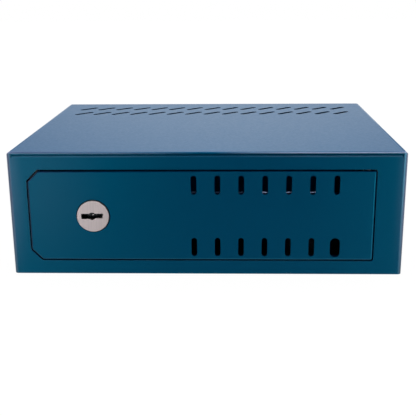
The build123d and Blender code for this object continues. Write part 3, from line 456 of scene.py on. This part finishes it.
def at_front_corners(s, x, y, z):
    """Painted reflection on the left, painted highlights on the upright front corners, and a faint
    painted halo.
    """
    low, high = (corner / MM for corner in cad_box)
    side = s.math("ABSOLUTE", x)
    near_front = s.across(y, 1.0, 0.0, low.y + CORNER_FULL_DEPTH, low.y + CORNER_DEPTH)
    power = s.across(x, HALO_LEFT_POWER, HALO_RIGHT_POWER, -HALO_BLUR, HALO_BLUR)
    halo = s.math("POWER", s.across(side, 0.0, 1.0, high.x - HALO_WIDTH, high.x), power)
    corner = s.across(side, 0.0, 1.0, high.x - CORNER_WIDTH, high.x - CORNER_FULL_WIDTH)
    lower = s.across(z, CORNER_FADE_SHARE, 1.0, CORNER_FADE_LOW, CORNER_FADE_HIGH)
    return (
        (s.times(left_reflection(s, x, z), near_front), LEFT_REFLECTION_COLOUR),
        (s.times(halo, side_fade(s, z), near_front), HALO_LIGHT_COLOUR),
        (s.times(corner, lower, near_front), CORNER_HIGHLIGHT_COLOUR),
    )


def on_shell(s, x, y, z):
    """Painted highlights on the corners and on the top edge towards both ends, and a greener painted
    sheen on top.
    """
    low, high = (corner / MM for corner in cad_box)
    near_front = s.across(y, 1.0, 0.0, low.y + SHELL_EDGE_FULL_DEPTH, low.y + SHELL_EDGE_DEPTH)
    by_side = s.across(x, SHELL_EDGE_LEFT_SHARE, 1.0, -MIDDLE_BLUR, MIDDLE_BLUR)
    edge = s.times(s.band(z, *SHELL_EDGE_Z, MARK_BLUR), to_ends(s, x), by_side, near_front)
    on_top = s.across(z, 0.0, TOP_SHARE, high.z - TOP_START, high.z - TOP_FULL)
    return (*at_front_corners(s, x, y, z), (edge, SHELL_EDGE_HIGHLIGHT_COLOUR), (on_top, TOP_SHEEN_COLOUR))


def on_front_frame(s, x, y, z):
    """Painted highlights on the corners, the seam with the shell and the groove's lower edge, and
    painted light on the opening's walls.
    """
    ends = to_ends(s, x)
    by_side = s.across(x, 1.0, SEAM_RIGHT_SHARE, -MIDDLE_BLUR, MIDDLE_BLUR)
    seam = s.times(s.band(z, *SEAM_Z, MARK_BLUR), ends, by_side)
    least = s.math("MAXIMUM", ends, GROOVE_EDGE_LEAST)
    below = s.times(s.band(z, *GROOVE_EDGE_Z, MARK_BLUR), least)
    front = cad_box[0].y / MM
    behind = s.across(y, 0.0, 1.0, front + OPENING_WALL_START, front + OPENING_WALL_FULL)
    low, high = box_mm("door_plate")
    wall = 0.0
    walls = ((x, high.x + HINGE_GAP), (x, low.x - DOOR_GAP), (z, low.z - DOOR_GAP))
    for length, at in walls:
        near = s.band(length, at - OPENING_WALL_NEAR, at + OPENING_WALL_NEAR, WALL_BLUR)
        wall = s.math("MAXIMUM", near, wall)
    return (
        *at_front_corners(s, x, y, z),
        (seam, SEAM_HIGHLIGHT_COLOUR),
        (below, GROOVE_EDGE_HIGHLIGHT_COLOUR),
        (s.times(wall, behind), OPENING_WALL_LIGHT_COLOUR),
    )


def at_door_edge(s, x, y, z):
    """Painted reflection on the left, and painted highlights on the left edge and cut corners of the
    door's front.
    """
    low, high = box_mm("door_plate")
    from_left = s.math("SUBTRACT", x, low.x * MM)
    nearest = from_left
    for from_end in (s.math("SUBTRACT", high.z * MM, z), s.math("SUBTRACT", z, low.z * MM)):
        reach = s.math("SUBTRACT", s.math("ADD", from_left, from_end), DOOR_CUT * MM)
        nearest = s.math("MINIMUM", nearest, s.times(reach, math.sqrt(0.5)))
    edge = s.across(nearest, 1.0, 0.0, DOOR_EDGE_FULL_WIDTH, DOOR_EDGE_WIDTH)
    return ((left_reflection(s, x, z), LEFT_REFLECTION_COLOUR), (edge, DOOR_EDGE_HIGHLIGHT_COLOUR))


def on_stiffener_foot(s, x, y, z):
    """Painted light on the upper edge of the stiffener's foot, brighter along a part of it."""
    top = box_mm("door_stiffener")[1].z
    edge = s.band(z, top - LEDGE_LIGHT_DEPTH, top + LEDGE_LIGHT_BLUR, MARK_BLUR)
    along_foot = s.band(x, LEDGE_LIGHT_LEFT, LEDGE_LIGHT_RIGHT, LEDGE_LIGHT_BLUR)
    return ((edge, FOOT_EDGE_LIGHT_COLOUR), (s.times(along_foot, edge), LEDGE_LIGHT_COLOUR))


def in_groove(s, x, y, z):
    """Painted shade in the front frame's groove, with a spot at both ends, and how far their shine is
    dulled.
    """
    side = s.band(s.math("ABSOLUTE", x), *GROOVE_END_X, MARK_BLUR)
    ends = s.times(side, s.band(z, *GROOVE_END_Z, MARK_BLUR))
    return s.math("MAXIMUM", s.band(z, *GROOVE_Z, MARK_BLUR), ends), GROOVE_DULLING


def in_slots(s, x, y, z):
    """Painted shade on the walls of the door's slots and its upper edge, and how far their shine is
    dulled.
    """
    low, high = box_mm("door_plate")
    inside = s.band(y, low.y + WALL_START, high.y - WALL_BLUR, WALL_BLUR)
    between = s.band(x, low.x + DOOR_CUT + WALL_MARGIN, high.x - WALL_MARGIN, WALL_BLUR)
    bottom = low.z + WALL_MARGIN
    above = s.across(z, 0.0, 1.0, bottom - WALL_FADE, bottom)
    return s.times(inside, between, above), WALL_DULLING


def in_top_slots(s, x, y, z):
    """Painted shade on the walls of the slots in the shell's top, and how far their shine is dulled.
    """
    high = cad_box[1] / MM
    below_sheet = high.z - TOP_SHEET - TOP_SHEET_MARGIN
    inside = s.band(z, below_sheet, high.z - TOP_WALL_START, WALL_BLUR)
    side = high.x - TOP_SLOTS_MARGIN
    between = s.band(x, -side, side, TOP_SLOTS_BLUR)
    at_rear = s.band(y, TOP_SLOTS_START, high.y - TOP_SLOTS_MARGIN, TOP_SLOTS_BLUR)
    return s.times(inside, between, at_rear), WALL_DULLING


def brushed_disc():
    """Nickel face disc, brushed upright."""
    base, pale, dark = (0.49, 0.43, 0.432), (0.51, 0.445, 0.447), (0.46, 0.405, 0.408)
    s = Shader("brushed_disc", base, metallic=1.0, roughness=0.34)
    lines = s.noise(feature_mm=0.35, detail=4.0, rough=0.7, stretch=(1.0, 1.0, 0.015))
    streaks = s.noise(feature_mm=1.4, stretch=(1.0, 1.0, 0.04))
    color = s.blend(s.ramp(streaks, 0.0, 1.0), pale, dark)
    roughness = s.ramp(lines, low=0.28, high=0.42)
    relief = s.bump(lines, depth_mm=0.02, strength=0.5)
    return s.use(color=color, roughness=roughness, normal=relief)


def bright_steel():
    """Turned steel, with fine tool marks and a little wear."""
    base, pale, worn = (0.55, 0.55, 0.56), (0.58, 0.58, 0.59), (0.47, 0.46, 0.45)
    s = Shader("bright_steel", base, metallic=1.0, roughness=0.25)
    marks = s.noise(feature_mm=0.25, rough=0.6, stretch=(1.0, 1.0, 0.3))
    wear = s.noise(feature_mm=4.0, detail=4.0)
    color = s.blend(s.ramp(wear, 0.0, 1.0), pale, worn)
    roughness = s.ramp(wear, low=0.2, high=0.36)
    relief = s.bump(marks, depth_mm=0.01, strength=0.4)
    return s.use(color=color, roughness=roughness, normal=relief)


def zinc_plate(name="zinc_plate", black_until=None):
    """Zinc plated sheet: pale, faintly blue and yellow, cloudy, and black up to a depth, painted shade
    on the case.
    """
    base, bluish, yellowish = (0.55, 0.57, 0.58), (0.52, 0.56, 0.6), (0.6, 0.58, 0.5)
    flake, flake_mm = (0.42, 0.44, 0.47), 6.0
    s = Shader(name, base, metallic=1.0, roughness=0.4)
    inputs = {"Vector": s.place, "Scale": 1.0 / (flake_mm * MM)}
    flakes = s.node("ShaderNodeTexVoronoi", inputs).outputs["Distance"]
    clouds = s.noise(feature_mm=14.0, detail=3.0)
    color = s.blend(s.ramp(clouds, 0.0, 1.0), bluish, yellowish)
    color = s.blend(s.ramp(flakes, low=0.0, high=0.25, from_low=0.1, from_high=0.7), color, flake)
    if black_until is not None:
        y = s.node("ShaderNodeSeparateXYZ", {"Vector": s.place}).outputs["Y"]
        start, end = black_until - BLACK_AND_SHADE_BLUR, black_until + BLACK_AND_SHADE_BLUR
        color = s.blend(s.across(y, 1.0, 0.0, start, end), color, BLACK_AND_SHADE_COLOUR)
    roughness = s.ramp(clouds, low=0.32, high=0.48)
    relief = s.bump(s.noise(feature_mm=0.6), depth_mm=0.015, strength=0.4)
    return s.use(color=color, roughness=roughness, normal=relief)


def dark_steel():
    """Blackened steel, oiled."""
    base, black, worn = (0.012, 0.014, 0.018), (0.01, 0.012, 0.016), (0.04, 0.041, 0.045)
    s = Shader("dark_steel", base, metallic=0.6, roughness=0.5)
    wear = s.noise(feature_mm=2.0, detail=4.0)
    color = s.blend(s.ramp(wear, low=0.0, high=1.0, from_low=0.5, from_high=0.75), black, worn)
    roughness = s.ramp(wear, low=0.42, high=0.55)
    relief = s.bump(s.noise(feature_mm=0.4), depth_mm=0.01, strength=0.4)
    return s.use(color=color, roughness=roughness, normal=relief)


def spring_steel():
    """Blued spring wire."""
    base, blued, straw = (0.16, 0.18, 0.22), (0.12, 0.15, 0.22), (0.24, 0.22, 0.2)
    s = Shader("spring_steel", base, metallic=1.0, roughness=0.28)
    tint = s.noise(feature_mm=3.0)
    color = s.blend(s.ramp(tint, 0.0, 1.0), blued, straw)
    roughness = s.ramp(tint, low=0.22, high=0.36)
    relief = s.bump(s.noise(feature_mm=0.3), depth_mm=0.008, strength=0.4)
    return s.use(color=color, roughness=roughness, normal=relief)


def brass():
    """Stamped brass, faintly tarnished."""
    base, fresh, tarnished = (0.66, 0.45, 0.18), (0.7, 0.48, 0.2), (0.48, 0.32, 0.13)
    s = Shader("brass", base, metallic=1.0, roughness=0.3)
    tarnish = s.noise(feature_mm=5.0, detail=4.0)
    lines = s.noise(feature_mm=0.3, detail=3.0, rough=0.6, stretch=(0.02, 1.0, 1.0))
    color = s.blend(s.ramp(tarnish, 0.0, 1.0), fresh, tarnished)
    roughness = s.ramp(tarnish, low=0.22, high=0.42)
    relief = s.bump(lines, depth_mm=0.01, strength=0.4)
    return s.use(color=color, roughness=roughness, normal=relief)


def rubber():
    """Matt black rubber with moulding bloom."""
    base, black, bloomed = (0.018, 0.018, 0.019), (0.016, 0.016, 0.017), (0.035, 0.035, 0.037)
    s = Shader("rubber", base, metallic=0.0, roughness=0.7)
    bloom = s.noise(feature_mm=7.0, detail=3.0)
    color = s.blend(s.ramp(bloom, 0.0, 1.0), black, bloomed)
    roughness = s.ramp(bloom, low=0.6, high=0.8)
    relief = s.bump(s.noise(feature_mm=0.5), depth_mm=0.03, strength=0.5)
    return s.use(color=color, roughness=roughness, normal=relief)


def dress_nodes():
    """Give each CAD node its slot's material, or its own one, and rounded edges."""
    makers = {
        "powder_coat": powder_coat, "brushed_disc": brushed_disc, "bright_steel": bright_steel,
        "zinc_plate": zinc_plate, "dark_steel": dark_steel, "spring_steel": spring_steel,
        "brass": brass, "rubber": rubber,
    }
    finishes = {slot: maker() for slot, maker in makers.items()}
    for row in frame["record"]["subparts"]:
        node = nodes[row["node"]]
        node.data.materials.clear()
        node.data.materials.append(finishes[row["material_slot"]])
    # Darker copies of the coat with little shine: painted shade on the inner fittings and the
    # stiffener
    inner = powder_coat("inner_shaded_coat", share=INNER_SHADE_SHARE)
    stiffener = powder_coat("stiffener_coat", on_stiffener_foot, share=INNER_SHADE_SHARE)
    for material in (inner, stiffener):
        surface = material.node_tree.nodes["Principled BSDF"]
        surface.inputs["Specular IOR Level"].default_value = INNER_SPECULAR
    # The lock case's front, behind the face disc, is painted shade; the bolt plate is black all over
    case_shade_until = box_mm("lock_case")[0].y + CASE_FRONT
    plate_black = box_mm("lock_bolt_plate")[1].y + BOLT_PLATE_MARGIN
    own_finishes = {node: inner for node in INNER_SHADED}
    own_finishes["door_stiffener"] = stiffener
    own_finishes["door_plate"] = powder_coat("door_coat", at_door_edge, in_slots)
    own_finishes["body_shell"] = powder_coat("shell_coat", on_shell, in_top_slots)
    own_finishes["front_frame"] = powder_coat("frame_coat", on_front_frame, in_groove)
    own_finishes["lock_case"] = zinc_plate("lock_case_plate", case_shade_until)
    own_finishes["lock_bolt_plate"] = zinc_plate("bolt_plate_black", plate_black)
    for node, material in own_finishes.items():
        nodes[node].data.materials[0] = material
    for name in PAINTED:
        soften_edges(nodes[name], SHEET_EDGE)
    for name in FLUSH:
        soften_edges(nodes[name], FLUSH_EDGE)
    return finishes


def soften_edges(node, radius_mm):
    """Round a node's sharp edges by that radius."""
    weld = node.modifiers.new("weld", "WELD")
    weld.merge_threshold = SAME_POINT * MM
    bevel = node.modifiers.new("bevel", "BEVEL")
    bevel.width = radius_mm * MM
    bevel.segments = EDGE_STEPS
    bevel.limit_method = "ANGLE"
    bevel.angle_limit = math.radians(SHARP_TURN)
    bevel.harden_normals = True


def along(start, end, count):
    """Middles of that many equal parts of a line."""
    return [start.lerp(end, (i + 0.5) / count) for i in range(count)]


def join_rings(mesh, rings):
    """Faces between neighbouring rings of vertices, and one that closes either end."""
    for first, second in zip(rings, rings[1:]):
        for i in range(len(first)):
            k = (i + 1) % len(first)
            mesh.faces.new((first[i], first[k], second[k], second[i]))
    mesh.faces.new(rings[0])
    mesh.faces.new(rings[-1])


def add_bead(mesh, middle, line, length, leg, out_a, out_b):
    """One rippled weld bead in an inner corner, whose two faces run out along out_a and out_b."""
    steps = max(2, round(length / RIPPLE)) * STEPS_PER_RIPPLE
    rings = []
    for i in range(steps + 1):
        share = i / steps
        taper = min(1.0, BEAD_SWELL * math.sin(math.pi * share) + BEAD_END)
        ripple = 1.0 - BEAD_RIPPLE * abs(math.sin(math.pi * i / STEPS_PER_RIPPLE))
        size = leg * taper * ripple
        at = middle + line * (share - 0.5) * length
        ring = [at - (out_a + out_b) * BEAD_ROOT]
        for j in range(STEPS_ACROSS + 1):
            turn = 0.5 * math.pi * j / STEPS_ACROSS
            swell = 1.0 - BEAD_HOLLOW * math.sin(2.0 * turn)
            ring.append(at + (out_a * math.cos(turn) + out_b * math.sin(turn)) * size * swell)
        rings.append([mesh.verts.new(point * MM) for point in ring])
    join_rings(mesh, rings)


def add_spot(mesh, middle, out):
    """One spot weld: a low round print, dished at its middle."""
    across = out.orthogonal().normalized()
    beside = out.cross(across)
    rings = []
    for width, rise in SPOT_PROFILE:
        ring = []
        for i in range(SPOT_STEPS):
            turn = 2.0 * math.pi * i / SPOT_STEPS
            spoke = across * math.cos(turn) + beside * math.sin(turn)
            point = middle + spoke * width * SPOT_RADIUS + out * rise * SPOT_HEIGHT
            ring.append(mesh.verts.new(point * MM))
        rings.append(ring)
    join_rings(mesh, rings)


def finish_welds(name, mesh, body, material):
    """Make the beads or spots one piece that rides on a body."""
    bmesh.ops.recalc_face_normals(mesh, faces=mesh.faces)
    for face in mesh.faces:
        face.smooth = True
    data = bpy.data.meshes.new(name)
    mesh.to_mesh(data)
    mesh.free()
    data.materials.append(material)
    piece = bpy.data.objects.new(name, data)
    bpy.context.scene.collection.objects.link(piece)
    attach(piece, body)


def weld_door(material):
    """Stitches on the door's back: hinge knuckles, bolt guide and stiffener."""
    back = box_mm("door_plate")[1].y
    mesh = bmesh.new()
    for name in ("hinge_knuckle_upper", "hinge_knuckle_lower"):
        low, high = box_mm(name)
        for x, out in ((low.x, -RIGHT), (high.x, RIGHT)):
            ends = Vector((x, back, low.z)), Vector((x, back, high.z))
            for middle in along(*ends, KNUCKLE_STITCHES):
                add_bead(mesh, middle, UP, STITCH, KNUCKLE_LEG, out, REAR)
    low, high = box_mm("bolt_guide")
    ends = Vector((high.x, back, low.z)), Vector((high.x, back, high.z))
    for middle in along(*ends, GUIDE_STITCHES):
        add_bead(mesh, middle, UP, STITCH, GUIDE_LEG, RIGHT, REAR)
    low, high = box_mm("door_stiffener")
    edges = ((high.z, UP, STIFFENER_UPPER_LEG), (low.z, -UP, STIFFENER_LOWER_LEG))
    for z, out, leg in edges:
        for x in STIFFENER_STITCHES:
            add_bead(mesh, Vector((x, back, z)), RIGHT, STITCH, leg, out, REAR)
    finish_welds("welds_door", mesh, "door", material)


def weld_frame(material):
    """Stitches on the front frame's back, at the keeper and the hinge lugs."""
    low, high = box_mm("bolt_keeper")
    back = low.y
    mesh = bmesh.new()
    ends = Vector((high.x, back, low.z)), Vector((high.x, back, high.z))
    for middle in along(*ends, KEEPER_STITCHES):
        add_bead(mesh, middle, UP, STITCH, KEEPER_LEG, RIGHT, REAR)
    for name, out in (("hinge_lug_upper", UP), ("hinge_lug_lower", -UP)):
        low, high = box_mm(name)
        z = high.z if out.z > 0 else low.z
        ends = Vector((low.x, back, z)), Vector((high.x, back, z))
        for middle in along(*ends, LUG_STITCHES):
            add_bead(mesh, middle, RIGHT, LUG_STITCH, LUG_LEG, out, REAR)
    finish_welds("welds_frame", mesh, "cabinet", material)


def weld_base(material):
    """Spots along the base's upturned flanges, on their inner side."""
    mesh = bmesh.new()
    for side in (-1, 1):
        wall = side * SPOT_WALL
        ends = Vector((wall, SPOT_START, SPOT_Z)), Vector((wall, SPOT_END, SPOT_Z))
        for middle in along(*ends, SPOT_COUNT):
            add_spot(mesh, middle, -side * RIGHT)
    finish_welds("welds_base", mesh, "cabinet", material)


def stage_sheet(name, half_x, half_y, z, glow):
    """A flat sheet that is no part of the object. Its sizes are metres."""
    mesh = bpy.data.meshes.new(name)
    corners = [
        (-half_x, -half_y, z), (half_x, -half_y, z), (half_x, half_y, z), (-half_x, half_y, z),
    ]
    mesh.from_pydata(corners, [], [tuple(range(len(corners)))])
    sheet = bpy.data.objects.new(name, mesh)
    bpy.context.scene.collection.objects.link(sheet)
    grey = (FLOOR_COLOUR, FLOOR_COLOUR, FLOOR_COLOUR)
    s = Shader(name, grey, metallic=0.0, roughness=FLOOR_ROUGHNESS)
    s.surface.inputs["Specular IOR Level"].default_value = 0.0
    s.surface.inputs["Emission Color"].default_value = WHITE
    s.surface.inputs["Emission Strength"].default_value = glow
    mesh.materials.append(s.material)
    return sheet


def lay_floor():
    """Plain pale floor that only the camera sees, and its dark part under the box."""
    floor = stage_sheet("floor", FLOOR_REACH, FLOOR_REACH, 0.0, FLOOR_GLOW)
    floor.visible_glossy = False
    floor.visible_diffuse = False
    floor.visible_shadow = False
    half = (cad_box[1] - cad_box[0]) / 2
    inset = UNDER_INSET * MM
    stage_sheet("under_sheet", half.x - inset, half.y - inset, UNDER_RAISE * MM, 0.0)


def light_tent():
    """World: a dim tent with soft patches of light, which the camera sees as plain white."""
    world = bpy.data.worlds.new("tent")
    bpy.context.scene.world = world
    world.use_nodes = True
    world.node_tree.nodes.clear()
    t = Nodes(world.node_tree)
    direction = t.node("ShaderNodeTexCoord").outputs["Generated"]
    strength = TENT_BASE
    for _, *angles, share in TENT_PATCHES:
        azimuth, height, inner, outer = (math.radians(angle) for angle in angles)
        level = math.cos(height)
        middle = (math.sin(azimuth) * level, -math.cos(azimuth) * level, math.sin(height))
        facing = t.node("ShaderNodeVectorMath", {0: direction, 1: middle}, operation="DOT_PRODUCT")
        patch = t.ramp(
            facing.outputs["Value"], 0.0, share, math.cos(outer), math.cos(inner),
            interpolation_type="SMOOTHSTEP",
        )
        strength = t.math("ADD", patch, strength)
    seen = t.node("ShaderNodeLightPath").outputs["Is Camera Ray"]
    inputs = {NUMBER_SHARE: seen, NUMBER_FIRST: strength, NUMBER_SECOND: 1.0}
    shown = t.node("ShaderNodeMix", inputs).outputs[NUMBER_RESULT]
    background = t.node("ShaderNodeBackground", {"Color": WHITE, "Strength": shown})
    t.node("ShaderNodeOutputWorld", {"Surface": background.outputs[0]})


def hang_top_light(name, power, shines):
    """A wide soft light overhead, which may also shine in glossy surfaces."""
    data = bpy.data.lights.new(name, "SUN")
    data.energy = power
    data.angle = math.radians(TOP_LIGHT_WIDTH)
    light = bpy.data.objects.new(name, data)
    light.rotation_euler = (math.radians(-TOP_LIGHT_TILT), 0.0, 0.0)
    light.visible_glossy = shines
    bpy.context.scene.collection.objects.link(light)


point_camera()
finishes = dress_nodes()
weld_door(finishes["powder_coat"])
weld_frame(finishes["powder_coat"])
weld_base(finishes["powder_coat"])
lay_floor()
light_tent()
hang_top_light("top_light", TOP_LIGHT_POWER, False)
hang_top_light("top_shine", TOP_LIGHT_SHINE, True)
bpy.context.scene.view_settings.view_transform = "Standard"
